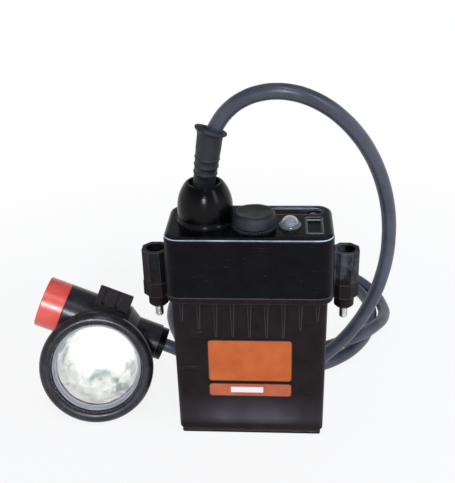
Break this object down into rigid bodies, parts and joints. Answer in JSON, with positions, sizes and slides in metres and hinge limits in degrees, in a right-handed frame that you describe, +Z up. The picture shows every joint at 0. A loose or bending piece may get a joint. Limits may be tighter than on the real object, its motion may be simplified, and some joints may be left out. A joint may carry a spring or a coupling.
{
  "type": "miner's cap lamp",
  "caption": "Battery case with a bolted cover, carrying-hook headpiece with a rotary switch, and the cable that joins them.",
  "frame": {"origin": "centre of the battery case's underside, on the surface it stands on", "axes": "+Z up; the case's plain front with the two plates faces -Y; the headpiece lies to the -X side and the loops of cable behind, at +Y"},
  "size_m": [0.2683, 0.2573, 0.2422],
  "materials": {
    "case_plastic": "satin, faintly brown black",
    "cover_plastic": "glossy black",
    "rubber": "matte charcoal",
    "gasket_rubber": "dull pinkish grey",
    "cable_rubber": "satin blue-grey",
    "zinc": "bright zinc plate",
    "brass": "machined",
    "nickel": "plain metal",
    "cell_wrap": "shrink wrap",
    "cream_plastic": "moulded",
    "board": "lacquered board",
    "clear_plastic": "clear",
    "lamp_resin": "milky white",
    "mirror_coat": "vacuum-coated mirror",
    "red_plastic": "satin red",
    "orange_plate": "bare orange plate"
  },
  "bodies": {
    "lamp": {"battery_case": "case_plastic", "battery_cover": "cover_plastic", "cover_lugs": "cover_plastic", "case_gasket": "rubber", "cover_bolts": "zinc", "bolt_washers": "zinc", "bolt_inserts": "brass", "battery_cells": "cell_wrap", "lower_cell_holder": "cream_plastic", "upper_cell_holder": "cream_plastic", "cell_strips": "nickel", "control_board": "board", "cable_dome": "cover_plastic", "boot_clamp": "brass", "cable_boot": "rubber", "charge_socket": "cover_plastic", "socket_pins": "brass", "socket_nut": "zinc", "indicator_lens": "clear_plastic", "indicator_light": "lamp_resin", "seal_screw": "zinc", "label_plate": "orange_plate", "serial_plate": "orange_plate", "head_housing": "cover_plastic", "bezel_ring": "cover_plastic", "lens_gasket": "gasket_rubber", "head_lens": "clear_plastic", "reflector": "mirror_coat", "main_emitter": "lamp_resin", "emitter_board": "nickel", "heat_sink": "nickel", "shaft_seal": "rubber", "switch_contacts": "cream_plastic", "cap_hook": "cover_plastic", "hook_screws": "zinc", "gland_nut": "cover_plastic", "gland_bush": "rubber", "cable_arc": "cable_rubber", "cable_coil": "cable_rubber", "cable_lead": "cable_rubber"},
    "switch": {"switch_knob": "red_plastic", "switch_shaft": "brass", "knob_screw": "zinc", "switch_rotor": "cream_plastic"},
    "cap": {"socket_cap": "rubber"}
  },
  "joints": [
    {"name": "switch_turn", "type": "hinge", "parent": "lamp", "child": "switch", "pos_m": [-0.14311, 0.03288, 0.0689], "axis": [0.9226, -0.0071, -0.3857], "range_deg": [-60, 60]},
    {"name": "cap_pull", "type": "slide", "parent": "lamp", "child": "cap", "axis": [0, 0, 1], "range_m": [0, 0.02]}
  ]
}
